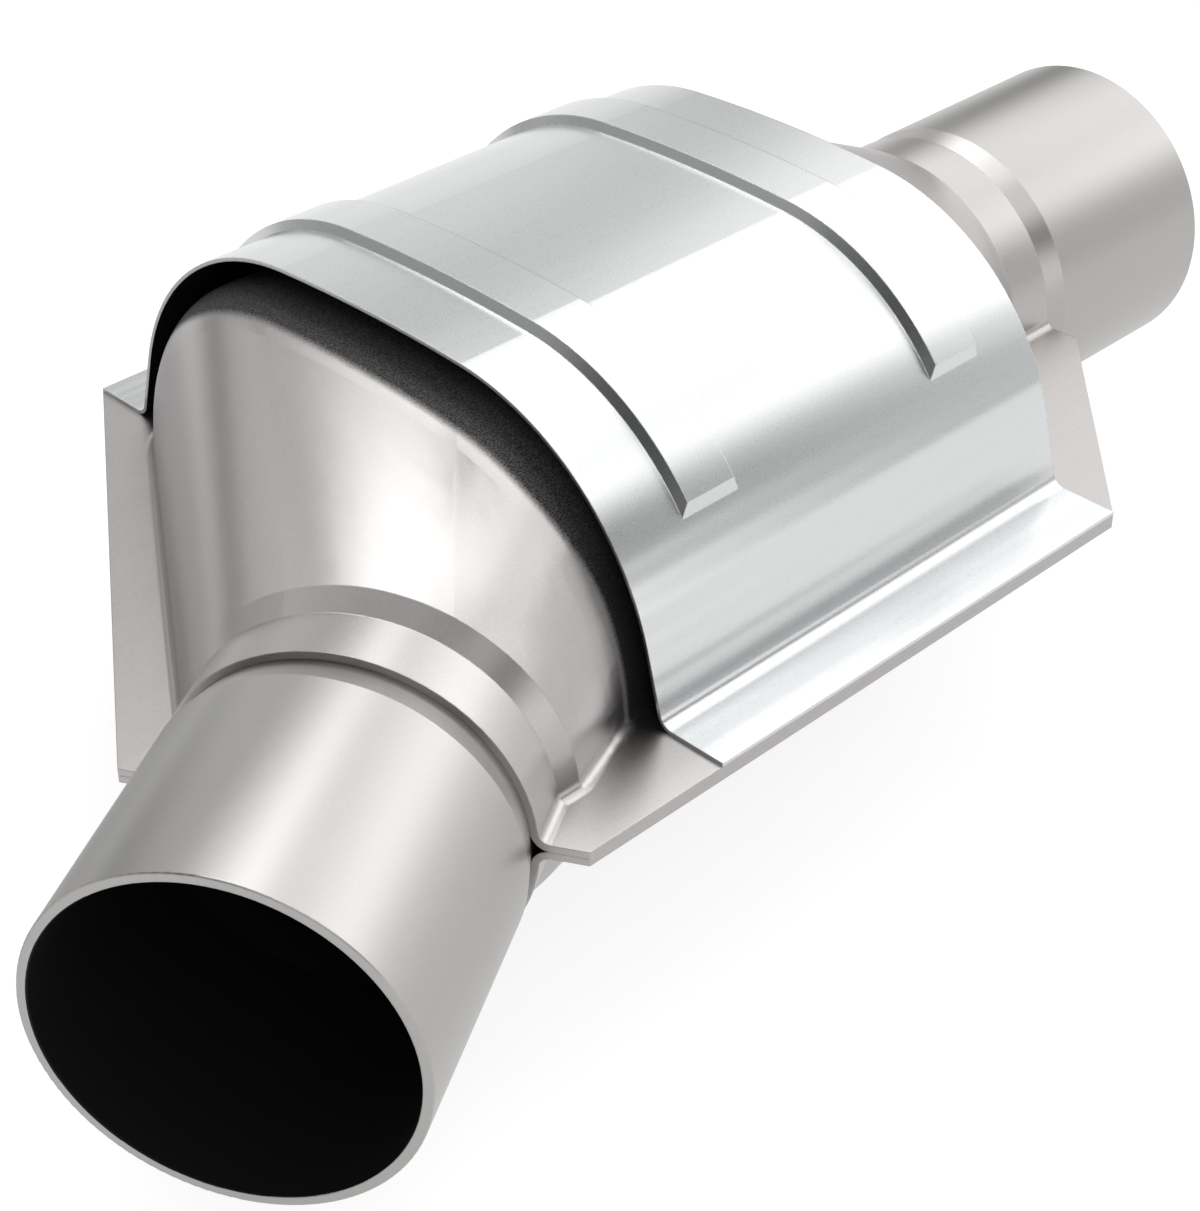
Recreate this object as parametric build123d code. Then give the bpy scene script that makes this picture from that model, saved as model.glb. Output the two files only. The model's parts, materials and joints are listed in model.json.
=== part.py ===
from build123d import *
from math import atan2, cos, radians, sin, sqrt, tan
import os

# Catalytic converter of the pressed clamshell kind: two half shells that meet at a flat
# seam flange, an angled inlet pipe, a straight outlet pipe, a ribbed heat shield over the
# upper half, and a ceramic substrate held in a mat between two knitted wire seals.
# Millimetres. X runs along the body from the outlet pipe's open end (X = 0) to the inlet,
# Z is up, and the seam is the plane Z = 0.

# Pipes
pipe_diameter = 63.5
pipe_wall = 1.8
pipe_reach = 53.0
pipe_taper_length = 6.0
pipe_insertion = 13.0
pipe_edge_radius = 0.3

# Half shells
shell_sheet = 1.4
shell_bend_radius = 2.0
barrel_length = 111.0
barrel_half_width = 65.0
barrel_half_height = 46.3
barrel_crown_radius = 350.0
barrel_corner_rise = 3.8
barrel_draft = 6.0
fold_reach = 6.0
fold_stations = 4
fold_samples = 8

# Necks, where each cone steps down to the collar that holds a pipe
collar_length = 10.6
neck_step_length = 4.2
neck_step_height = 2.4
neck_crown_turn = 24.0
neck_side_turn = 8.0
outlet_cone_length = 31.7
inlet_cone_length = 34.8
inlet_offset = 42.1
inlet_angle = 30.0

# Seam flange, beside the barrel and beside each pipe
flange_width = 19.0
flange_ear_width = 7.4

# Heat shield
shield_sheet = 0.7
shield_setback = 2.5
shield_gap = 5.2
shield_draft = 15.0
shield_bend_radius = 2.6
rib_height = 1.75
rib_top_width = 11.2
rib_bevel_width = 1.1
rib_end_angle = 55.0
rib_end_bevel_angle = 2.6
front_rib_setback = 21.8
rear_rib_setback = 20.3

# Substrate, mat and seals
substrate_setback = 10.5
mat_thickness = 4.2
cell_pitch = 6.0
cell_wall = 0.8
seal_width = 5.0
seal_setback = 1.0

# Places that follow from the sizes above
pipe_radius = pipe_diameter / 2
neck_radius = pipe_radius - shell_sheet
step_radius = pipe_radius + neck_step_height
collar_end = pipe_reach
step_start = collar_end + collar_length
cone_start = step_start + neck_step_length
barrel_start = cone_start + outlet_cone_length
barrel_end = barrel_start + barrel_length
barrel_corner_radius = barrel_half_height - barrel_corner_rise
flange_half_width = barrel_half_width + flange_width
flange_ear_half_width = pipe_radius + flange_ear_width
shield_start = barrel_start + shield_setback
shield_end = barrel_end - shield_setback
shield_offset = shield_gap + shield_sheet
substrate_start = barrel_start + substrate_setback
substrate_end = barrel_end - substrate_setback
substrate_inset = shell_sheet + mat_thickness
inlet_reach = pipe_reach + collar_length + neck_step_length
inlet_direction = Vector(cos(radians(inlet_angle)), sin(radians(inlet_angle)), 0)
inlet_neck_centre = Vector(barrel_end + inlet_cone_length, inlet_offset, 0)
inlet_mouth = inlet_neck_centre + inlet_direction * inlet_reach
outlet_direction = Vector(-1, 0, 0)
outlet_mouth = Vector(0, 0, 0)
forward = Vector(1, 0, 0)
beyond = 20.0


def section_plane(origin, direction):
    """Plane across a pipe or the body: its Y axis is up and its X axis lies in the seam."""
    return Plane(origin=origin, x_dir=Vector(0, 0, 1).cross(direction), z_dir=direction)


def along_body(section, start, end):
    """Section carried along the body from one place on its axis to another."""
    return extrude(section_plane(Vector(start, 0, 0), forward) * section, end - start)


def corner_centre(half_width, height, crown_radius, corner_radius, draft):
    """Centre of the arc that touches a drafted side and a crowned top."""
    slope = radians(draft)
    across = half_width - corner_radius / cos(slope)
    lean = tan(slope)
    crown_drop = crown_radius - height
    reach = crown_radius - corner_radius
    # (across - lean * z)^2 + (z + crown_drop)^2 = reach^2
    a = lean * lean + 1
    b = crown_drop - lean * across
    c = across * across + crown_drop * crown_drop - reach * reach
    z = (sqrt(b * b - a * c) - b) / a
    return across - lean * z, z


def half_oval(half_width, height, crown_radius, corner_radius, draft):
    """Edges of half a flattened oval: base, side, corner arc, crown, corner arc and side."""
    cx, cz = corner_centre(half_width, height, crown_radius, corner_radius, draft)
    slope = radians(draft)
    side_top = (cx + corner_radius * cos(slope), cz + corner_radius * sin(slope))
    crown_turn = atan2(cx, cz + crown_radius - height)
    crown_edge = (crown_radius * sin(crown_turn), height - crown_radius + crown_radius * cos(crown_turn))
    middle = (slope + radians(90) - crown_turn) / 2
    corner_mid = (cx + corner_radius * cos(middle), cz + corner_radius * sin(middle))

    def left(point):
        return (-point[0], point[1])

    return [
        Line((-half_width, 0), (half_width, 0)),
        Line((half_width, 0), side_top),
        ThreePointArc(side_top, corner_mid, crown_edge),
        ThreePointArc(crown_edge, (0, height), left(crown_edge)),
        ThreePointArc(left(crown_edge), left(corner_mid), left(side_top)),
        Line(left(side_top), (-half_width, 0)),
    ]


def barrel_edges(offset, draft):
    """Edges of the barrel's half oval, moved out from its outer skin, or in if negative."""
    return half_oval(
        barrel_half_width + offset / cos(radians(draft)),
        barrel_half_height + offset,
        barrel_crown_radius + offset,
        barrel_corner_radius + offset,
        draft,
    )


def barrel_section(offset, draft):
    """Upper half of the barrel's oval as an area."""
    return make_face(barrel_edges(offset, draft))


def half_round(radius):
    """Edges of half a round neck: a base, and arcs that face the oval's sides and crown."""
    crown_start = 90 - neck_crown_turn
    stops = [0, neck_side_turn, crown_start, 180 - crown_start, 180 - neck_side_turn, 180]

    def at(angle):
        return (radius * cos(radians(angle)), radius * sin(radians(angle)))

    edges = [Line(at(180), at(0))]
    for start, stop in zip(stops, stops[1:]):
        edges.append(ThreePointArc(at(start), at((start + stop) / 2), at(stop)))
    return edges


def traced(place):
    """Smooth curve through equal steps along an edge, each put where place says."""
    return Spline(*[place(step / fold_samples) for step in range(fold_samples + 1)])


def fold_sections(oval, neck, side):
    """Sections through the fold where the barrel bends over into a cone.

    Each point runs along the barrel, round the bend and out along its own line to the neck.
    """
    def bend(near, far, share):
        onward = far - near
        leave = near + onward * (fold_reach / abs(onward.X))
        enter = near - side * fold_reach
        return enter * (1 - share) ** 2 + near * (2 * share * (1 - share)) + leave * share**2

    def section(share):
        ends = [bend(oval[0] @ end, neck[0] @ end, share) for end in (0, 1)]
        edges = [Line(*ends)]
        for near, far in zip(oval[1:], neck[1:]):
            edges.append(traced(lambda step: bend(near @ step, far @ step, share)))
        return make_face(edges)

    return [section(station / fold_stations) for station in range(fold_stations + 1)]


def shell_envelope(inset, overrun):
    """Upper half of the body's volume, inset from its outer skin by a sheet or nothing."""
    oval = barrel_edges(-inset, barrel_draft)
    step = half_round(step_radius - inset)
    collar = make_face(half_round(pipe_radius - inset))

    def neck(barrel_face_x, cone_face_centre, direction):
        """Where the barrel ends, and all from there on: fold, cone, step and collar."""
        across = section_plane(cone_face_centre, direction)
        side = forward if direction.X > 0 else -forward
        barrel_plane = section_plane(Vector(barrel_face_x, 0, 0), side)
        step_plane = across.offset(neck_step_length)
        step_face = across * make_face(step)
        folds = fold_sections([barrel_plane * e for e in oval], [across * e for e in step], side)
        fold = loft(folds)
        cone = loft([folds[-1], step_face], ruled=True)
        shoulder = loft([step_face, step_plane * collar], ruled=True)
        sleeve = extrude(step_plane * collar, collar_length + overrun)
        return folds[0], fold + cone + shoulder + sleeve

    turn = atan2(barrel_half_width - step_radius, outlet_cone_length)
    tuck = inset * tan(turn / 2)
    outlet_face, outlet = neck(barrel_start + tuck, Vector(cone_start, 0, 0), outlet_direction)
    inlet_face, inlet = neck(barrel_end - tuck, inlet_neck_centre, inlet_direction)
    barrel = loft([outlet_face, inlet_face], ruled=True)
    return barrel + outlet + inlet


def flange_outline():
    """Plan of the seam flange: an ear beside each pipe and a straight edge along each side."""
    inlet_end = inlet_neck_centre + inlet_direction * (neck_step_length + collar_length)
    right = Vector(0, 0, 1).cross(inlet_direction)
    left_ear = inlet_end - right * flange_ear_half_width
    right_reach = (flange_half_width - inlet_end.Y) / right.Y
    right_ear = inlet_end + right * right_reach
    points = [
        Vector(collar_end, -flange_ear_half_width, 0),
        Vector(shield_start, -flange_half_width, 0),
        Vector(shield_end, -flange_half_width, 0),
        left_ear,
        right_ear,
        Vector(shield_start, flange_half_width, 0),
        Vector(collar_end, flange_ear_half_width, 0),
    ]
    return make_face(Polyline(*points, close=True))


def wall_foot(solid, height, rim):
    """Edges where the drawn walls stand on a flat face, which the press rounds."""
    feet = []
    for edge in solid.edges():
        box = edge.bounding_box()
        level = abs(box.min.Z - height) < 1e-4 and abs(box.max.Z - height) < 1e-4
        middle = edge @ 0.5
        if level and rim.distance_to(Vector(middle.X, middle.Y, 0)) > 1e-3:
            feet.append(edge)
    return feet


def half_shell():
    """Pressed upper half: one sheet, drawn up from the flange with a rounded bend."""
    plan = flange_outline()
    pressed = shell_envelope(0, 0) + extrude(plan, shell_sheet)
    pressed = fillet(wall_foot(pressed, shell_sheet, plan.wire()), shell_bend_radius)
    base = Pos(barrel_start, 0) * Rectangle(6 * barrel_length, 4 * flange_half_width)
    punch = shell_envelope(shell_sheet, beyond) + extrude(base, -beyond)
    feet = [e for e in wall_foot(punch, 0, base.wire()) if inside_sheet(e)]
    punch = fillet(feet, shell_bend_radius + shell_sheet)
    return pressed - punch


def inside_sheet(edge):
    """True for an edge that runs along a wall, and not across the end of a pipe's bore."""
    direction = (edge @ 1) - (edge @ 0)
    across_outlet = abs(direction.X) < 1e-3
    across_inlet = abs(direction.dot(inlet_direction)) < 1e-3
    return not (across_outlet or across_inlet)


def pipe(mouth, direction):
    """Pipe from its open end to the end swaged down to slip inside the collar."""
    taper_start = pipe_reach - pipe_taper_length
    length = pipe_reach + pipe_insertion
    outer = [
        (0, pipe_radius),
        (taper_start, pipe_radius),
        (pipe_reach, neck_radius),
        (length, neck_radius),
    ]
    inner = [(along, radius - pipe_wall) for along, radius in reversed(outer)]
    profile = make_face(Polyline(*[(radius, along) for along, radius in outer + inner], close=True))
    mouth_corners = profile.vertices().sort_by(Axis.Y)[:2]
    profile = fillet(mouth_corners, pipe_edge_radius)
    turned = revolve(Plane.XZ * profile, Axis.Z)
    return section_plane(mouth, -direction) * turned


def arch_section(lift):
    """Area under the heat shield's arch, lifted where a rib stands and lowered by its sheet."""
    return barrel_section(shield_offset + lift, shield_draft)


def rib_limits(inset):
    """Area that holds a rib: everything above two bevelled ends on the shield's shoulders."""
    cx, cz = corner_centre(
        barrel_half_width, barrel_half_height, barrel_crown_radius, barrel_corner_radius, shield_draft
    )

    def shoulder(angle, radius):
        return Vector(cx + radius * sin(radians(angle)), cz + radius * cos(radians(angle)))

    skin = barrel_corner_radius + shield_offset - inset
    foot = shoulder(rib_end_angle, skin)
    top = shoulder(rib_end_angle - rib_end_bevel_angle, skin + rib_height)
    outside = foot + (top - foot) * (beyond / rib_height)
    roof = barrel_half_height + shield_offset + 2 * beyond
    right = [Vector(0, 0), foot, outside, Vector(outside.X, roof)]
    left = [Vector(-point.X, point.Y) for point in reversed(right[1:])]
    return make_face(Polyline(*right, *left, close=True))


def rib(middle, inset):
    """Raised band across the arch with a bevel on each side and at each end."""
    steepness = atan2(rib_height, rib_bevel_width)
    foot_half = rib_top_width / 2 + rib_bevel_width - inset * tan(steepness / 2)
    top_half = rib_top_width / 2 - inset * tan(steepness / 2)
    low = arch_section(-inset)
    high = arch_section(rib_height - inset)
    stations = [
        (-foot_half, low),
        (-top_half, high),
        (top_half, high),
        (foot_half, low),
    ]
    faces = [section_plane(Vector(middle + along, 0, 0), forward) * area for along, area in stations]
    band = loft(faces, ruled=True)
    return band & along_body(rib_limits(inset), middle - foot_half, middle + foot_half)


def shield_solid(inset):
    """Shield's arch and flange as a filled solid, inset by its sheet."""
    arch = arch_section(-inset)
    flange_top = shell_sheet + shield_sheet - inset
    foot = Pos(0, flange_top / 2) * Rectangle(2 * flange_half_width, flange_top)
    section = arch + foot
    bends = [v for v in section.vertices() if is_bend(v, flange_top)]
    section = fillet(bends, shield_bend_radius + inset)
    arch = along_body(section, shield_start, shield_end)
    for middle in (shield_start + rear_rib_setback, shield_end - front_rib_setback):
        arch += rib(middle, inset)
    return arch


def is_bend(vertex, flange_top):
    """True for the two corners where the shield's sides turn out into its flange."""
    return abs(vertex.Y - flange_top) < 1e-4 and abs(vertex.X) < flange_half_width - 1


def heat_shield():
    """Ribbed sheet that arches over the upper half shell and lies on its flange."""
    return shield_solid(0) - shield_solid(shield_sheet)


def substrate_section():
    """Whole flattened oval of the ceramic substrate."""
    upper = barrel_section(-substrate_inset, 0)
    return upper + mirror(upper, Plane.XZ)


def substrate():
    """Ceramic block with square channels from face to face."""
    outline = substrate_section()
    rim = outline.wire()
    cell = cell_pitch - cell_wall
    columns = int(barrel_half_width / cell_pitch)
    rows = int(barrel_half_height / cell_pitch)
    reach = cell / sqrt(2) + cell_wall
    cells = []
    for column in range(-columns, columns + 1):
        for row in range(-rows, rows + 1):
            spot = Vector(column * cell_pitch, row * cell_pitch, 0)
            if outline.face().is_inside(spot) and rim.distance_to(spot) > reach:
                cells.append(Pos(spot) * Rectangle(cell, cell))
    return along_body(outline - cells, substrate_start, substrate_end)


def wrap_section():
    """Ring between the half shells' inner skin and the substrate."""
    base, *arch = barrel_edges(-shell_sheet, barrel_draft)
    upper = make_face([base] + [traced(lambda step: edge @ step) for edge in arch])
    return upper + mirror(upper, Plane.XZ) - substrate_section()


def build():
    """Every piece of the converter, by name."""
    upper = half_shell()
    wrap_start = substrate_start + seal_setback
    wrap_end = substrate_end - seal_setback
    mat_start = wrap_start + seal_width
    mat_end = wrap_end - seal_width
    return {
        "upper_shell": upper,
        "lower_shell": mirror(upper, Plane.XY),
        "heat_shield": heat_shield(),
        "inlet_pipe": pipe(inlet_mouth, inlet_direction),
        "outlet_pipe": pipe(outlet_mouth, outlet_direction),
        "substrate": substrate(),
        "support_mat": along_body(wrap_section(), mat_start, mat_end),
        "inlet_seal": along_body(wrap_section(), mat_end, wrap_end),
        "outlet_seal": along_body(wrap_section(), wrap_start, mat_start),
    }


os.makedirs("parts", exist_ok=True)
for name, piece in build().items():
    export_step(piece, f"parts/{name}.step")
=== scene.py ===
# %% [markdown]
# # A catalytic converter in satin steel
#
# The converter is pressed from two half shells that meet at a flat seam, with a pipe in each
# end and a thin ribbed shield over the top. The sheet metal and the pipes come from the CAD
# frame and are shown as they are. This lesson gives them their finishes, models the ceramic
# honeycomb that shows deep inside the pipes, and sets up a plain studio.
#
# The frame is loaded first. Every piece below is in metres, in the frame's own axes.

# %% Load the frame
import json
from math import cos, pi, radians, sin

import bmesh
import bpy
from mathutils import Matrix, Vector


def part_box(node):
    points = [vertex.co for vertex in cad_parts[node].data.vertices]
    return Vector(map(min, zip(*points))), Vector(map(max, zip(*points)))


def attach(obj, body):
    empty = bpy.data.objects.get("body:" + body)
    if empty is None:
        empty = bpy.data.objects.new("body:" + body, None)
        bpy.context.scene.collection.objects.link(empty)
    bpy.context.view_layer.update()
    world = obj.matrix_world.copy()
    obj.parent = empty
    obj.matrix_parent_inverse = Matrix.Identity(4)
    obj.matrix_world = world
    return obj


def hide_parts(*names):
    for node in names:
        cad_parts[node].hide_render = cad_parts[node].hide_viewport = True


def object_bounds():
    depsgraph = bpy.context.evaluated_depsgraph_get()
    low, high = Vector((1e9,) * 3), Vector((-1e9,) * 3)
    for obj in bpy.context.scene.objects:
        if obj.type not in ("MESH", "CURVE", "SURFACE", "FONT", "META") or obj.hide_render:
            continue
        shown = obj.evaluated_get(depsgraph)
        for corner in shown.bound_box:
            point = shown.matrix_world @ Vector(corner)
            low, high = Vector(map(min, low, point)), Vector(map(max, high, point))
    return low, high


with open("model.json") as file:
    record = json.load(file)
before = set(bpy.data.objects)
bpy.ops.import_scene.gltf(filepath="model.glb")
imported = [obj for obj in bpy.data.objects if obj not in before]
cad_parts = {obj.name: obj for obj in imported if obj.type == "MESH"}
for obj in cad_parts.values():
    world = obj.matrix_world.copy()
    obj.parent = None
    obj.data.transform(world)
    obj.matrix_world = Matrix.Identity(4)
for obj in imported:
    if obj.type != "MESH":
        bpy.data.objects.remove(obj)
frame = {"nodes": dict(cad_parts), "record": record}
cad_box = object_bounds()
MM = 0.001
print("nodes", sorted(frame["nodes"]))

# %% [markdown]
# ## Where the inlet pipe is
#
# The outlet pipe lies on the X axis, and the inlet pipe runs at an angle to it. The record's
# mounts say where the inlet's open end is and which way it points.

# %% Read the inlet's mount
mounts = {mount["name"]: mount for mount in frame["record"]["mounts"]}
inlet_mouth = Vector(mounts["inlet_pipe"]["pos_m"])
inlet_direction = Vector(mounts["inlet_pipe"]["axis"])
print("inlet mouth", inlet_mouth, "pointing along", inlet_direction)

# %% [markdown]
# ## The body's line
#
# The gas goes straight through the barrel, slants across in the inlet cone and follows the
# inlet pipe. Past the barrel two straight lines describe that path well enough: one crosses
# the cone, and one lies on the pipe's axis. Knowing the path tells an outer skin from an inner
# one. The frame names neither the barrel's end nor the neck, so their places along X are given
# here. The shield's own box says where it starts and ends.

# %% Lines from the frame
shield_low, shield_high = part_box("heat_shield")
pipe_slope = inlet_direction.y / inlet_direction.x
neck_x = 245.3 * MM
neck_y = inlet_mouth.y - (inlet_mouth.x - neck_x) * pipe_slope
barrel_end_x = 210.5 * MM
cone_slope = neck_y / (neck_x - barrel_end_x)
print("shield from", shield_low.x, "to", shield_high.x, "neck at", neck_x, neck_y)

# %% [markdown]
# ## The camera
#
# The photograph looks down at the converter from beside the inlet pipe. Its place was solved
# from the edges of the pipes and the seam, so the camera is set by where it stands and the
# direction it looks in. The lens is a long one, as product photographers use, and the
# picture's long side is the 36 mm side of the sensor.

# %% Set up the camera
camera_place = Vector((455.83, 303.84, 265.42)) * MM
camera_azimuth = radians(45.02)
camera_elevation = radians(35.08)
camera_roll = radians(0.15)
camera_lens = 77.745
camera_sensor = 36
nearest_seen = 10 * MM
farthest_seen = 20

toward_camera = Vector(
    (
        cos(camera_azimuth) * cos(camera_elevation),
        sin(camera_azimuth) * cos(camera_elevation),
        sin(camera_elevation),
    )
)
level_right = Vector((0, 0, 1)).cross(toward_camera).normalized()
level_up = toward_camera.cross(level_right)
camera_right = level_right * cos(camera_roll) + level_up * sin(camera_roll)
camera_up = toward_camera.cross(camera_right)

camera_data = bpy.data.cameras.new("camera")
camera_data.lens = camera_lens
camera_data.sensor_width = camera_sensor
camera_data.clip_start = nearest_seen
camera_data.clip_end = farthest_seen
camera = bpy.data.objects.new("camera", camera_data)
turned = Matrix((camera_right, camera_up, toward_camera)).transposed().to_4x4()
camera.matrix_world = Matrix.Translation(camera_place) @ turned
bpy.context.scene.collection.objects.link(camera)
bpy.context.scene.camera = camera
print("camera at", camera_place)

# %% [markdown]
# ## Small helpers for node materials
#
# Every material here is a node tree. These helpers add a node with its settings and link
# what it reads, so that a tree is written like a recipe.


# %% Node helpers
def add_node(tree, kind, **settings):
    """A new node. Settings that name an input socket fill it, the others are properties."""
    node = tree.nodes.new(kind)
    for name, value in settings.items():
        socket_name = name.replace("_", " ").title()
        if hasattr(node, name):
            setattr(node, name, value)
        else:
            node.inputs[socket_name].default_value = value
    return node


def maths(tree, operation, first, second=0.0):
    """A Math node on two values or sockets."""
    node = tree.nodes.new("ShaderNodeMath")
    node.operation = operation
    for socket, value in zip(node.inputs, (first, second)):
        if isinstance(value, bpy.types.NodeSocket):
            tree.links.new(value, socket)
        else:
            socket.default_value = value
    return node.outputs["Value"]


def ramp(tree, value, low, high, start=0.0, end=1.0):
    """A smooth step: start below low, end above high."""
    node = tree.nodes.new("ShaderNodeMapRange")
    node.interpolation_type = "SMOOTHSTEP"
    tree.links.new(value, node.inputs["Value"])
    ends = {"From Min": low, "From Max": high, "To Min": start, "To Max": end}
    for name, number in ends.items():
        node.inputs[name].default_value = number
    return node.outputs["Result"]


def mix_colour(tree, factor, first, second):
    """A Mix node on two colours or colour sockets."""
    node = tree.nodes.new("ShaderNodeMix")
    node.data_type = "RGBA"
    for name, value in (("Factor", factor), ("A", first), ("B", second)):
        socket = [s for s in node.inputs if s.name == name and s.enabled][0]
        if isinstance(value, bpy.types.NodeSocket):
            tree.links.new(value, socket)
        elif name == "Factor":
            socket.default_value = value
        else:
            socket.default_value = (*value, 1)
    return [s for s in node.outputs if s.enabled][0]


def new_group(name, inputs, outputs):
    """An empty shader node group with its sockets, and its two end nodes."""
    group = bpy.data.node_groups.new(name, "ShaderNodeTree")
    for label, kind, value in inputs:
        socket = group.interface.new_socket(label, in_out="INPUT", socket_type=kind)
        socket.default_value = value
    for label, kind in outputs:
        group.interface.new_socket(label, in_out="OUTPUT", socket_type=kind)
    return group, group.nodes.new("NodeGroupInput"), group.nodes.new("NodeGroupOutput")


COLOUR = "NodeSocketColor"
NUMBER = "NodeSocketFloat"
VECTOR = "NodeSocketVector"
noise_middle = 0.5
print("socket kinds", COLOUR, NUMBER, VECTOR)

# %% [markdown]
# ## Which side of the sheet
#
# Every steel piece here is thin sheet wrapped round the gas's path. Its outer skin faces away
# from that path and its inner skin faces it, so a dot product tells them apart. The group
# works out the path's place at the same X, and compares the surface's own normal with the
# direction away from it. Only a clearly negative product counts, so that the sheet's edges,
# which face along the path, stay bright.


# %% The skin side group
inner_limit = -0.52


def skin_side_group():
    """Mask that is 1 on a sheet's inner skin and 0 on its outer one."""
    group, entry, out = new_group(
        "skin_side", [("Place", VECTOR, (0, 0, 0))], [("Inner", NUMBER)]
    )
    links = group.links
    place = add_node(group, "ShaderNodeSeparateXYZ")
    links.new(entry.outputs["Place"], place.inputs["Vector"])
    past_barrel = maths(group, "SUBTRACT", place.outputs["X"], barrel_end_x)
    along_cone = maths(group, "MULTIPLY", past_barrel, cone_slope)
    past_neck = maths(group, "SUBTRACT", place.outputs["X"], neck_x)
    along_pipe = maths(group, "ADD", maths(group, "MULTIPLY", past_neck, pipe_slope), neck_y)
    path_y = maths(group, "MAXIMUM", maths(group, "MINIMUM", along_cone, along_pipe), 0.0)
    outward = add_node(group, "ShaderNodeCombineXYZ")
    links.new(maths(group, "SUBTRACT", place.outputs["Y"], path_y), outward.inputs["Y"])
    links.new(place.outputs["Z"], outward.inputs["Z"])
    unit = add_node(group, "ShaderNodeVectorMath", operation="NORMALIZE")
    links.new(outward.outputs["Vector"], unit.inputs[0])
    facing = add_node(group, "ShaderNodeVectorMath", operation="DOT_PRODUCT")
    links.new(unit.outputs["Vector"], facing.inputs[0])
    surface = group.nodes.new("ShaderNodeNewGeometry")
    links.new(surface.outputs["True Normal"], facing.inputs[1])
    inner = maths(group, "LESS_THAN", facing.outputs["Value"], inner_limit)
    links.new(inner, out.inputs["Inner"])
    return group


skin_side = skin_side_group()
print("group", skin_side.name, "nodes", len(skin_side.nodes))

# %% [markdown]
# ## Satin sheet
#
# Rolled stainless sheet isn't a mirror. The rolls leave faint streaks along the sheet, and
# pickling leaves a fine grain, so reflections are soft and slightly broken. Both are noise
# textures, one stretched along the sheet, and both move the colour, the roughness and a
# small bump. A deburred edge is rounded by a few tenths of a millimetre, which the Bevel node
# adds to the shading. Where sheet is bent over a tool it keeps long shallow waves. They lie low
# on the sides and fade out further up. All this is one group, used by every steel with its own
# values.

# %% The satin sheet group
edge_radius = 0.3 * MM
bevel_rays = 4
streak_scale = 420.0
streak_stretch = (0.06, 1.0, 1.0)
roughness_share = 0.4
grain_depth = 0.1 * MM
wave_scale = 130.0
wave_stretch = (0.015, 1.0, 1.0)
wave_top = 34 * MM
wave_fade = 12 * MM
wave_height = 1.0 * MM


def satin_sheet_group():
    """Colour, roughness and normal of rolled sheet, from a place on the object."""
    group, entry, out = new_group(
        "satin_sheet",
        [
            ("Place", VECTOR, (0, 0, 0)),
            ("Color", COLOUR, (0.5, 0.5, 0.5, 1)),
            ("Roughness", NUMBER, 0.3),
            ("Grain Scale", NUMBER, 2600.0),
            ("Grain", NUMBER, 0.05),
            ("Streaks", NUMBER, 0.05),
            ("Bump", NUMBER, 0.05),
            ("Waves", NUMBER, 0.0),
        ],
        [("Color", COLOUR), ("Roughness", NUMBER), ("Normal", VECTOR)],
    )
    links = group.links
    grain = add_node(group, "ShaderNodeTexNoise", detail=2.0, roughness=0.6)
    links.new(entry.outputs["Place"], grain.inputs["Vector"])
    links.new(entry.outputs["Grain Scale"], grain.inputs["Scale"])
    stretch = group.nodes.new("ShaderNodeMapping")
    stretch.inputs["Scale"].default_value = streak_stretch
    links.new(entry.outputs["Place"], stretch.inputs["Vector"])
    streak = add_node(
        group, "ShaderNodeTexNoise", scale=streak_scale, detail=3.0, roughness=0.55
    )
    links.new(stretch.outputs["Vector"], streak.inputs["Vector"])

    grain_part = maths(group, "SUBTRACT", grain.outputs["Fac"], noise_middle)
    grain_part = maths(group, "MULTIPLY", grain_part, entry.outputs["Grain"])
    streak_part = maths(group, "SUBTRACT", streak.outputs["Fac"], noise_middle)
    streak_part = maths(group, "MULTIPLY", streak_part, entry.outputs["Streaks"])
    change = maths(group, "ADD", grain_part, streak_part)
    level = maths(group, "ADD", change, 1.0)
    tinted = add_node(group, "ShaderNodeVectorMath", operation="SCALE")
    links.new(entry.outputs["Color"], tinted.inputs["Vector"])
    links.new(level, tinted.inputs["Scale"])
    links.new(tinted.outputs["Vector"], out.inputs["Color"])
    uneven = maths(group, "MULTIPLY", change, roughness_share)
    links.new(maths(group, "ADD", entry.outputs["Roughness"], uneven), out.inputs["Roughness"])

    edge = group.nodes.new("ShaderNodeBevel")
    edge.samples = bevel_rays
    edge.inputs["Radius"].default_value = edge_radius
    bump = add_node(group, "ShaderNodeBump", distance=grain_depth)
    links.new(entry.outputs["Bump"], bump.inputs["Strength"])
    relief = maths(group, "ADD", grain.outputs["Fac"], streak.outputs["Fac"])
    links.new(relief, bump.inputs["Height"])
    links.new(edge.outputs["Normal"], bump.inputs["Normal"])

    height = add_node(group, "ShaderNodeSeparateXYZ")
    links.new(entry.outputs["Place"], height.inputs["Vector"])
    long_stretch = group.nodes.new("ShaderNodeMapping")
    long_stretch.inputs["Scale"].default_value = wave_stretch
    links.new(entry.outputs["Place"], long_stretch.inputs["Vector"])
    wave = add_node(group, "ShaderNodeTexNoise", scale=wave_scale, detail=1.0)
    links.new(long_stretch.outputs["Vector"], wave.inputs["Vector"])
    low = ramp(group, height.outputs["Z"], wave_top - wave_fade, wave_top, 1.0, 0.0)
    waves = add_node(group, "ShaderNodeBump", distance=wave_height)
    links.new(entry.outputs["Waves"], waves.inputs["Strength"])
    links.new(maths(group, "MULTIPLY", wave.outputs["Fac"], low), waves.inputs["Height"])
    links.new(bump.outputs["Normal"], waves.inputs["Normal"])
    links.new(waves.outputs["Normal"], out.inputs["Normal"])
    return group


satin_sheet = satin_sheet_group()
print("group", satin_sheet.name, "nodes", len(satin_sheet.nodes))

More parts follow.
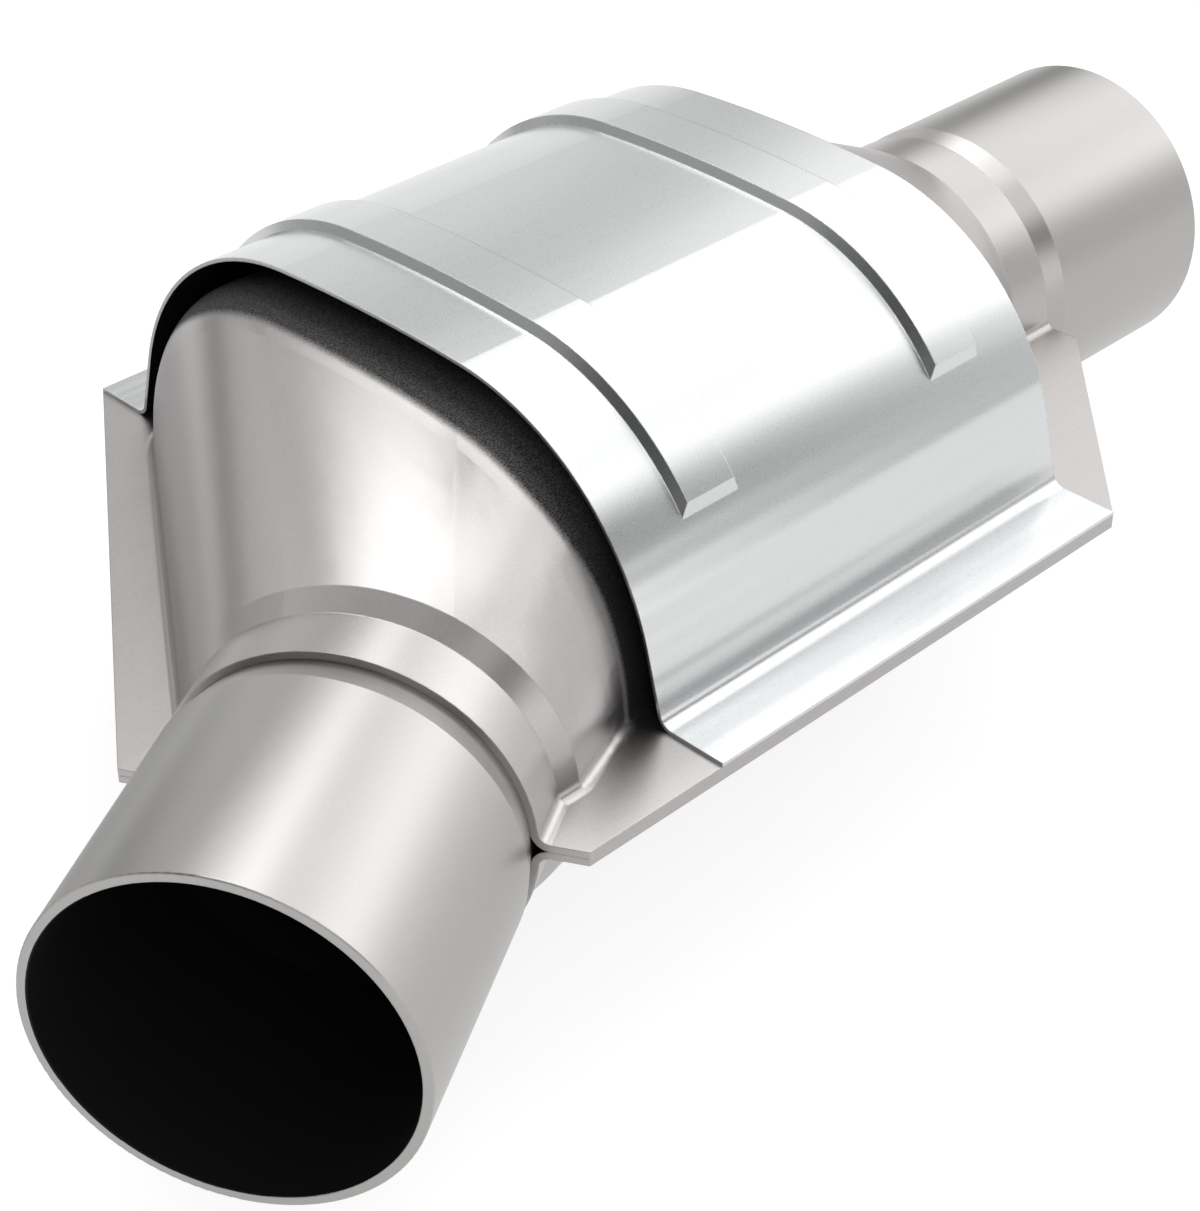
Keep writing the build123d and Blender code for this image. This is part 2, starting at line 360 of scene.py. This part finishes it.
# %% [markdown]
# ## A steel and its dark side
#
# The bores and the space under the shield lie in shade and are nearly black. A steel is
# therefore the satin sheet outside, and painted shade, dull and nearly black, on its inner skin
# and wherever a mask says that it's covered. The painted shade isn't metallic, so it reflects
# little of the bright room.


# %% Steel materials
# These three numbers are painted shade: a dull, nearly black finish painted on every inner skin
# and on the shell under the shield, where shade falls.
painted_shade_colour = (0.009, 0.009, 0.009)
painted_shade_roughness = 0.6
painted_shade_gloss = 0.15
print("dark scale", painted_shade_colour, "roughness", painted_shade_roughness)


def blend(tree, mask, at_zero, at_one):
    """A number that is at_zero where the mask is 0 and at_one where it is 1."""
    node = tree.nodes.new("ShaderNodeMapRange")
    tree.links.new(mask, node.inputs["Value"])
    for name, value in (("To Min", at_zero), ("To Max", at_one)):
        if isinstance(value, bpy.types.NodeSocket):
            tree.links.new(value, node.inputs[name])
        else:
            node.inputs[name].default_value = value
    return node.outputs["Result"]


def steel_material(name, colour, roughness, grain, streaks, bump, waves=0.0, cover=None):
    """Satin sheet outside, and painted shade inside and under whatever the cover mask says."""
    material = bpy.data.materials.new(name)
    material.use_nodes = True
    tree = material.node_tree
    shader = tree.nodes["Principled BSDF"]
    shader.inputs["Specular IOR Level"].default_value = painted_shade_gloss
    place = tree.nodes.new("ShaderNodeTexCoord").outputs["Object"]
    side = tree.nodes.new("ShaderNodeGroup")
    side.node_tree = skin_side
    tree.links.new(place, side.inputs["Place"])
    dark = side.outputs["Inner"]
    if cover:
        dark = maths(tree, "MAXIMUM", dark, cover(tree, place))
    sheet = tree.nodes.new("ShaderNodeGroup")
    sheet.node_tree = satin_sheet
    sheet.inputs["Color"].default_value = (*colour, 1)
    sheet.inputs["Roughness"].default_value = roughness
    sheet.inputs["Grain"].default_value = grain
    sheet.inputs["Streaks"].default_value = streaks
    sheet.inputs["Bump"].default_value = bump
    sheet.inputs["Waves"].default_value = waves
    tree.links.new(place, sheet.inputs["Place"])
    # Where the mask is 1 the colour is painted shade.
    base = mix_colour(tree, dark, sheet.outputs["Color"], painted_shade_colour)
    tree.links.new(base, shader.inputs["Base Color"])
    uneven = blend(tree, dark, sheet.outputs["Roughness"], painted_shade_roughness)
    tree.links.new(uneven, shader.inputs["Roughness"])
    tree.links.new(blend(tree, dark, 1.0, 0.0), shader.inputs["Metallic"])
    tree.links.new(sheet.outputs["Normal"], shader.inputs["Normal"])
    return material


# %% [markdown]
# ## Under the shield
#
# The shield covers the shell's barrel from one end to the other, and the shade under it is
# painted on the barrel. The painted shade fades out past each end, over the fold where the
# barrel turns into a cone, and reaches a little further along the crown. A fine noise breaks up
# its edge and thins it.
# The flange stays bright.

# %% The cover mask
cover_reach = 2.2 * MM
crown_from = 22 * MM
crown_to = 44 * MM
crown_reach = 2.6 * MM
cover_fade = 2.2 * MM
cover_speckle = 1.0 * MM
flange_top = 2.2 * MM
side_thinning = 0.04
crown_thinning = 0.22
speckle_scale = 3600.0
speckle_low = 0.3
speckle_high = 0.7
print("cover reaches", cover_reach, "past the shield, and", crown_reach, "more on the crown")


# Painted shade: the shell under and just past the shield is darkened where the shield's shade
# falls.
def under_shield(tree, place):
    """Painted shade under the shield: 1 where the shield covers the shell's upper wall, fading
    out past its ends.
    """
    apart = tree.nodes.new("ShaderNodeSeparateXYZ")
    tree.links.new(place, apart.inputs["Vector"])
    speckle = add_node(tree, "ShaderNodeTexNoise", scale=speckle_scale, detail=2.0)
    tree.links.new(place, speckle.inputs["Vector"])
    shift = maths(tree, "SUBTRACT", speckle.outputs["Fac"], noise_middle)
    shift = maths(tree, "MULTIPLY", shift, cover_speckle)
    middle = (shield_low.x + shield_high.x) / 2
    half = (shield_high.x - shield_low.x) / 2
    away = maths(tree, "ABSOLUTE", maths(tree, "SUBTRACT", apart.outputs["X"], middle))
    away = maths(tree, "ADD", away, shift)
    crown = ramp(tree, apart.outputs["Z"], crown_from, crown_to, 0.0, crown_reach)
    away = maths(tree, "SUBTRACT", away, crown)
    edge = half + cover_reach
    covered = ramp(tree, away, edge, edge + cover_fade, 1.0, 0.0)
    thinning = ramp(tree, apart.outputs["Z"], crown_from, crown_to, side_thinning, crown_thinning)
    thinned = maths(tree, "MULTIPLY", ramp(tree, speckle.outputs["Fac"], speckle_low, speckle_high), thinning)
    above = maths(tree, "GREATER_THAN", apart.outputs["Z"], flange_top)
    kept = maths(tree, "MULTIPLY", covered, maths(tree, "SUBTRACT", 1.0, thinned))
    return maths(tree, "MULTIPLY", kept, above)


# %% [markdown]
# ## The steels
#
# The shield is the brightest piece, a cool satin sheet. The shells and pipes are a little
# darker, warmer and softer.

# %% Make and place the steels
shield_steel = steel_material(
    "shield_steel",
    colour=(0.61, 0.62, 0.625),
    roughness=0.28,
    grain=0.10,
    streaks=0.03,
    bump=0.003,
    waves=0.8,
)
shell_steel = steel_material(
    "shell_steel",
    colour=(0.41, 0.396, 0.39),
    roughness=0.33,
    grain=0.24,
    streaks=0.05,
    bump=0.02,
    cover=under_shield,
)
pipe_steel = steel_material(
    "pipe_steel",
    colour=(0.387, 0.38, 0.37),
    roughness=0.35,
    grain=0.12,
    streaks=0.04,
    bump=0.02,
)


def finish_node(name, material):
    """Gives a CAD node its material."""
    node = frame["nodes"][name]
    node.data.materials.clear()
    node.data.materials.append(material)
    print(name, "gets", material.name)


finish_node("heat_shield", shield_steel)
finish_node("upper_shell", shell_steel)
finish_node("lower_shell", shell_steel)
finish_node("inlet_pipe", pipe_steel)
finish_node("outlet_pipe", pipe_steel)

# %% [markdown]
# ## The ceramic honeycomb
#
# The real substrate is extruded ceramic with hundreds of square channels to the square inch.
# The CAD block has a few coarse ones. A finer block takes its place here. Its front outline is
# the CAD block's own, found as the convex hull of a merged copy, of which only the faces that
# look straight ahead are kept. Straight cuts divide that front into cells, an inset leaves the
# walls between them, and the walls are extruded to the block's length. Cells that the outline
# cuts too small stay closed, as they do in the real one.

# %% Cut the front face into cells
channel_pitch = 1.5 * MM
channel_wall = 0.2 * MM
smallest_share = 0.35
merge_distance = 0.01 * MM
cut_distance = 0.001 * MM
straight_ahead = 0.999
substrate_low, substrate_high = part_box("substrate")


def front_face(node):
    """A mesh with one face, the flat front end of a node with a convex outline."""
    block = bmesh.new()
    block.from_mesh(node.data)
    bmesh.ops.remove_doubles(block, verts=block.verts, dist=merge_distance)
    hull = bmesh.new()
    for vertex in block.verts:
        hull.verts.new(vertex.co)
    block.free()
    bmesh.ops.convex_hull(hull, input=hull.verts)
    hull.normal_update()
    others = [face for face in hull.faces if face.normal.x < straight_ahead]
    bmesh.ops.delete(hull, geom=others, context="FACES")
    loose = [vertex for vertex in hull.verts if not vertex.link_faces]
    bmesh.ops.delete(hull, geom=loose, context="VERTS")
    bmesh.ops.dissolve_faces(hull, faces=hull.faces[:])
    return hull


def cut_across(piece, way, half_width):
    """Parallel cuts a pitch apart, square to way, on both sides of the middle."""
    last = int(half_width / channel_pitch)
    for step in range(-last, last):
        place = way * (step + 0.5) * channel_pitch
        everything = piece.verts[:] + piece.edges[:] + piece.faces[:]
        bmesh.ops.bisect_plane(
            piece, geom=everything, dist=cut_distance, plane_co=place, plane_no=way
        )


honeycomb_mesh = front_face(frame["nodes"]["substrate"])
cut_across(honeycomb_mesh, Vector((0, 1, 0)), substrate_high.y)
cut_across(honeycomb_mesh, Vector((0, 0, 1)), substrate_high.z)
print("cells", len(honeycomb_mesh.faces))

# %% Inset, open and extrude the cells
full_cell = channel_pitch * channel_pitch
smallest_area = smallest_share * full_cell
cells = [face for face in honeycomb_mesh.faces if face.calc_area() > smallest_area]
bmesh.ops.inset_individual(
    honeycomb_mesh, faces=cells, thickness=channel_wall / 2, use_even_offset=True
)
bmesh.ops.delete(honeycomb_mesh, geom=cells, context="FACES")
grown = bmesh.ops.extrude_face_region(honeycomb_mesh, geom=honeycomb_mesh.faces[:])
back_end = [part for part in grown["geom"] if isinstance(part, bmesh.types.BMVert)]
block_length = substrate_high.x - substrate_low.x
bmesh.ops.translate(honeycomb_mesh, verts=back_end, vec=(-block_length, 0, 0))
bmesh.ops.recalc_face_normals(honeycomb_mesh, faces=honeycomb_mesh.faces)
honeycomb_data = bpy.data.meshes.new("honeycomb")
honeycomb_mesh.to_mesh(honeycomb_data)
open_edges = sum(not edge.is_manifold for edge in honeycomb_mesh.edges)
honeycomb_mesh.free()
honeycomb = bpy.data.objects.new("honeycomb", honeycomb_data)
bpy.context.scene.collection.objects.link(honeycomb)
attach(honeycomb, "root")
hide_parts("substrate")
print("honeycomb faces", len(honeycomb_data.polygons), "open edges", open_edges)

# %% [markdown]
# ## Ceramic and fibre
#
# The channels' coating is a tan wash that dries unevenly, and the mat round the block is a
# felt of pale fibres. Both are matt and mottled, so they share one group: a broad noise for
# the mottle and a fine one for the grain, which also gives the bump its height.


# %% The mottle group
def mottle_group():
    """Uneven colour and a fine height for matt pieces."""
    group, entry, out = new_group(
        "mottle",
        [
            ("Place", VECTOR, (0, 0, 0)),
            ("Color", COLOUR, (0.5, 0.5, 0.5, 1)),
            ("Patch Scale", NUMBER, 60.0),
            ("Grain Scale", NUMBER, 2500.0),
            ("Amount", NUMBER, 0.2),
        ],
        [("Color", COLOUR), ("Height", NUMBER)],
    )
    links = group.links
    patches = add_node(group, "ShaderNodeTexNoise", detail=3.0)
    grain = add_node(group, "ShaderNodeTexNoise", detail=4.0, distortion=1.5)
    for noise, scale in ((patches, "Patch Scale"), (grain, "Grain Scale")):
        links.new(entry.outputs["Place"], noise.inputs["Vector"])
        links.new(entry.outputs[scale], noise.inputs["Scale"])
    both = maths(group, "ADD", patches.outputs["Fac"], grain.outputs["Fac"])
    change = maths(group, "SUBTRACT", both, 2 * noise_middle)
    change = maths(group, "MULTIPLY", change, entry.outputs["Amount"])
    tinted = add_node(group, "ShaderNodeVectorMath", operation="SCALE")
    links.new(entry.outputs["Color"], tinted.inputs["Vector"])
    links.new(maths(group, "ADD", change, 1.0), tinted.inputs["Scale"])
    links.new(tinted.outputs["Vector"], out.inputs["Color"])
    links.new(grain.outputs["Fac"], out.inputs["Height"])
    return group


mottle = mottle_group()
relief_depth = 0.2 * MM
print("group", mottle.name, "nodes", len(mottle.nodes))


# %% Matt materials
def matt_material(name, colour, roughness, patch_scale, grain_scale, amount, bump):
    """A dry, mottled finish."""
    material = bpy.data.materials.new(name)
    material.use_nodes = True
    tree = material.node_tree
    shader = tree.nodes["Principled BSDF"]
    shader.inputs["Roughness"].default_value = roughness
    tone = tree.nodes.new("ShaderNodeGroup")
    tone.node_tree = mottle
    tone.inputs["Color"].default_value = (*colour, 1)
    tone.inputs["Patch Scale"].default_value = patch_scale
    tone.inputs["Grain Scale"].default_value = grain_scale
    tone.inputs["Amount"].default_value = amount
    place = tree.nodes.new("ShaderNodeTexCoord").outputs["Object"]
    tree.links.new(place, tone.inputs["Place"])
    relief = add_node(tree, "ShaderNodeBump", strength=bump, distance=relief_depth)
    tree.links.new(tone.outputs["Height"], relief.inputs["Height"])
    tree.links.new(tone.outputs["Color"], shader.inputs["Base Color"])
    tree.links.new(relief.outputs["Normal"], shader.inputs["Normal"])
    return material


ceramic = matt_material(
    "ceramic",
    colour=(0.60, 0.49, 0.36),
    roughness=0.85,
    patch_scale=45.0,
    grain_scale=2600.0,
    amount=0.5,
    bump=0.25,
)
fibre_mat = matt_material(
    "fibre_mat",
    colour=(0.74, 0.72, 0.66),
    roughness=0.95,
    patch_scale=90.0,
    grain_scale=1400.0,
    amount=0.35,
    bump=0.8,
)
honeycomb_data.materials.append(ceramic)
finish_node("support_mat", fibre_mat)
print("materials", ceramic.name, fibre_mat.name)

# %% [markdown]
# ## Knitted wire
#
# The rings at the mat's ends are knitted from thin steel wire and pressed into a rope. Loops
# run round the ring, so the pattern needs a length round it: the angle about the barrel's axis
# times a middle radius. Rows of wires wave to and fro across that length, and the waves of
# neighbouring rows meet, which is what a knit looks like from a step away. The rows are
# counted along X and Z together, so that they show on the ring's end as well as on its rim.

# %% The wire rings
wire_pitch = 1.1 * MM
loop_length = 2.2 * MM
loop_swing = 0.8
ring_radius = 55 * MM
wire_depth = 0.3 * MM
wire_relief = 0.8
wire_edge = 0.35
wire_top = 0.75
wire_colour = (0.5, 0.49, 0.47)
gap_colour = (0.05, 0.05, 0.05)
wire_roughness = 0.35
gap_roughness = 0.8


def wire_material():
    """Bright wires over dark gaps, by where a point lies round and along the ring."""
    material = bpy.data.materials.new("knitted_wire")
    material.use_nodes = True
    tree = material.node_tree
    shader = tree.nodes["Principled BSDF"]
    apart = tree.nodes.new("ShaderNodeSeparateXYZ")
    place = tree.nodes.new("ShaderNodeTexCoord").outputs["Object"]
    tree.links.new(place, apart.inputs["Vector"])
    angle = maths(tree, "ARCTAN2", apart.outputs["Z"], apart.outputs["Y"])
    round_ring = maths(tree, "MULTIPLY", angle, ring_radius * 2 * pi / loop_length)
    swing = maths(tree, "MULTIPLY", maths(tree, "SINE", round_ring), loop_swing)
    slant = maths(tree, "ADD", apart.outputs["X"], apart.outputs["Z"])
    rows = maths(tree, "MULTIPLY", slant, 2 * pi / wire_pitch)
    wires = maths(tree, "ABSOLUTE", maths(tree, "SINE", maths(tree, "ADD", rows, swing)))
    wire = ramp(tree, wires, wire_edge, wire_top)
    base = mix_colour(tree, wire, gap_colour, wire_colour)
    tree.links.new(base, shader.inputs["Base Color"])
    uneven = blend(tree, wire, gap_roughness, wire_roughness)
    tree.links.new(uneven, shader.inputs["Roughness"])
    tree.links.new(wire, shader.inputs["Metallic"])
    relief = add_node(tree, "ShaderNodeBump", strength=wire_relief, distance=wire_depth)
    tree.links.new(wires, relief.inputs["Height"])
    tree.links.new(relief.outputs["Normal"], shader.inputs["Normal"])
    return material


knitted_wire = wire_material()
finish_node("inlet_seal", knitted_wire)
finish_node("outlet_seal", knitted_wire)

# %% [markdown]
# ## The floor
#
# A plain pale floor lies under the lowest point. It is far larger than the converter, so that
# its edge is never seen.

# %% Floor
floor_size = 30.0  # metres
lowest = cad_box[0].z
floor_mesh = bmesh.new()
bmesh.ops.create_grid(floor_mesh, x_segments=1, y_segments=1, size=floor_size / 2)
bmesh.ops.translate(floor_mesh, verts=floor_mesh.verts, vec=(0, 0, lowest))
floor_data = bpy.data.meshes.new("floor")
floor_mesh.to_mesh(floor_data)
floor_mesh.free()
floor = bpy.data.objects.new("floor", floor_data)
bpy.context.scene.collection.objects.link(floor)
print("floor at", lowest)

# %% [markdown]
# A white floor under plain light would darken to grey beside the converter. The picture's
# background is white, so most of the floor's white is its own, and the rest is lit and keeps a
# light shadow. The steel mirrors the floor as well. In the photograph its left flank mirrors
# something darker, so mirrored rays find a soft dark place on the floor beside the inlet cone.

# %% Floor paint
floor_own_white = 0.79
floor_lit_white = 0.32
shade_middle = (0.27, -0.23, lowest)
shade_from = 110 * MM
shade_to = 255 * MM
shade_white = 0.25

floor_paint = bpy.data.materials.new("floor_paint")
floor_paint.use_nodes = True
tree = floor_paint.node_tree
tree.nodes.remove(tree.nodes["Principled BSDF"])
lit = tree.nodes.new("ShaderNodeBsdfDiffuse")
lit.inputs["Color"].default_value = (floor_lit_white, floor_lit_white, floor_lit_white, 1)
glow = tree.nodes.new("ShaderNodeEmission")
rays = tree.nodes.new("ShaderNodeLightPath")
away = add_node(tree, "ShaderNodeVectorMath", operation="DISTANCE")
place = tree.nodes.new("ShaderNodeTexCoord").outputs["Object"]
tree.links.new(place, away.inputs[0])
away.inputs[1].default_value = shade_middle
mirrored = ramp(tree, away.outputs["Value"], shade_from, shade_to, shade_white, 1.0)
mirrored = maths(tree, "MULTIPLY", mirrored, rays.outputs["Is Glossy Ray"])
shown = maths(tree, "MAXIMUM", rays.outputs["Is Camera Ray"], mirrored)
shown = maths(tree, "MAXIMUM", shown, rays.outputs["Is Transmission Ray"])
tree.links.new(maths(tree, "MULTIPLY", shown, floor_own_white), glow.inputs["Strength"])
both = tree.nodes.new("ShaderNodeAddShader")
tree.links.new(lit.outputs["BSDF"], both.inputs[0])
tree.links.new(glow.outputs["Emission"], both.inputs[1])
tree.links.new(both.outputs["Shader"], tree.nodes["Material Output"].inputs["Surface"])
floor_data.materials.append(floor_paint)
print("floor paint", floor_own_white, "its own and", floor_lit_white, "lit")

# %% [markdown]
# ## The studio
#
# Metal shows what stands round it, so its light is mostly a matter of where the bright and
# dark panels are. The room is a world shader: a nearly black level with soft-edged panels,
# each a window in azimuth and elevation. The big ones, behind and above, draw the white band
# along the shield's shoulder, and the low ones light the flanks. Those on the camera's side are
# weak, which is what keeps the ribs' front bevels dark. The camera itself sees white past the
# floor's edge.

# %% Light panels
room_level = 0.04
panel_list = [
    # name, azimuth, elevation, half width, half height, soft edge, strength
    ("key", 235, 53, 24, 7, 9, 2.85),
    ("overhead", 190, 74, 58, 12, 11, 1.75),
    ("back", 170, 16, 25, 16, 9, 1.45),
    ("back_high", 184, 44, 31, 21, 12, 1.4),
    ("right", 108, 5, 16, 9, 13, 1.7),
    ("right_high", 128, 47, 13, 6, 6, 2.5),
    ("left", 240, 14, 11, 10, 9, 1.1),
    ("left_high", 278, 38, 8, 24, 10, 0.95),
    ("front_left", -50, 18, 20, 18, 12, 0.36),
    ("front", 57, 30, 20, 26, 10, 0.85),
    ("front_high", 0, 58, 75, 18, 14, 0.6),
]


def window(tree, angle, half, soft):
    """1 within half of zero and 0 past the soft edge, for an angle in radians."""
    return ramp(tree, maths(tree, "ABSOLUTE", angle), half, half + soft, 1.0, 0.0)


def panel_light(tree, way, elevation, panel):
    """Brightness that one panel adds in the direction looked in."""
    name, azimuth, height, half_width, half_height, soft, strength = panel
    turn = tree.nodes.new("ShaderNodeVectorRotate")
    turn.rotation_type = "Z_AXIS"
    turn.label = name
    turn.inputs["Angle"].default_value = -radians(azimuth)
    tree.links.new(way, turn.inputs["Vector"])
    level = tree.nodes.new("ShaderNodeSeparateXYZ")
    tree.links.new(turn.outputs["Vector"], level.inputs["Vector"])
    across = maths(tree, "ARCTAN2", level.outputs["Y"], level.outputs["X"])
    above = maths(tree, "SUBTRACT", elevation, radians(height))
    across = window(tree, across, radians(half_width), radians(soft))
    above = window(tree, above, radians(half_height), radians(soft))
    return maths(tree, "MULTIPLY", maths(tree, "MULTIPLY", across, above), strength)


def studio(panels, base_level):
    """World of panels over a plain level."""
    world = bpy.data.worlds.new("studio")
    world.use_nodes = True
    tree = world.node_tree
    way = tree.nodes.new("ShaderNodeTexCoord").outputs["Generated"]
    apart = tree.nodes.new("ShaderNodeSeparateXYZ")
    tree.links.new(way, apart.inputs["Vector"])
    elevation = maths(tree, "ARCSINE", apart.outputs["Z"])
    total = base_level
    for panel in panels:
        total = maths(tree, "ADD", panel_light(tree, way, elevation, panel), total)
    seen = tree.nodes.new("ShaderNodeLightPath").outputs["Is Camera Ray"]
    total = maths(tree, "MAXIMUM", total, seen)
    background = tree.nodes["Background"]
    background.inputs["Color"].default_value = (1, 1, 1, 1)
    tree.links.new(total, background.inputs["Strength"])
    return world


bpy.context.scene.world = studio(panel_list, room_level)
bpy.context.scene.view_settings.view_transform = "Standard"
print("panels", [panel[0] for panel in panel_list])
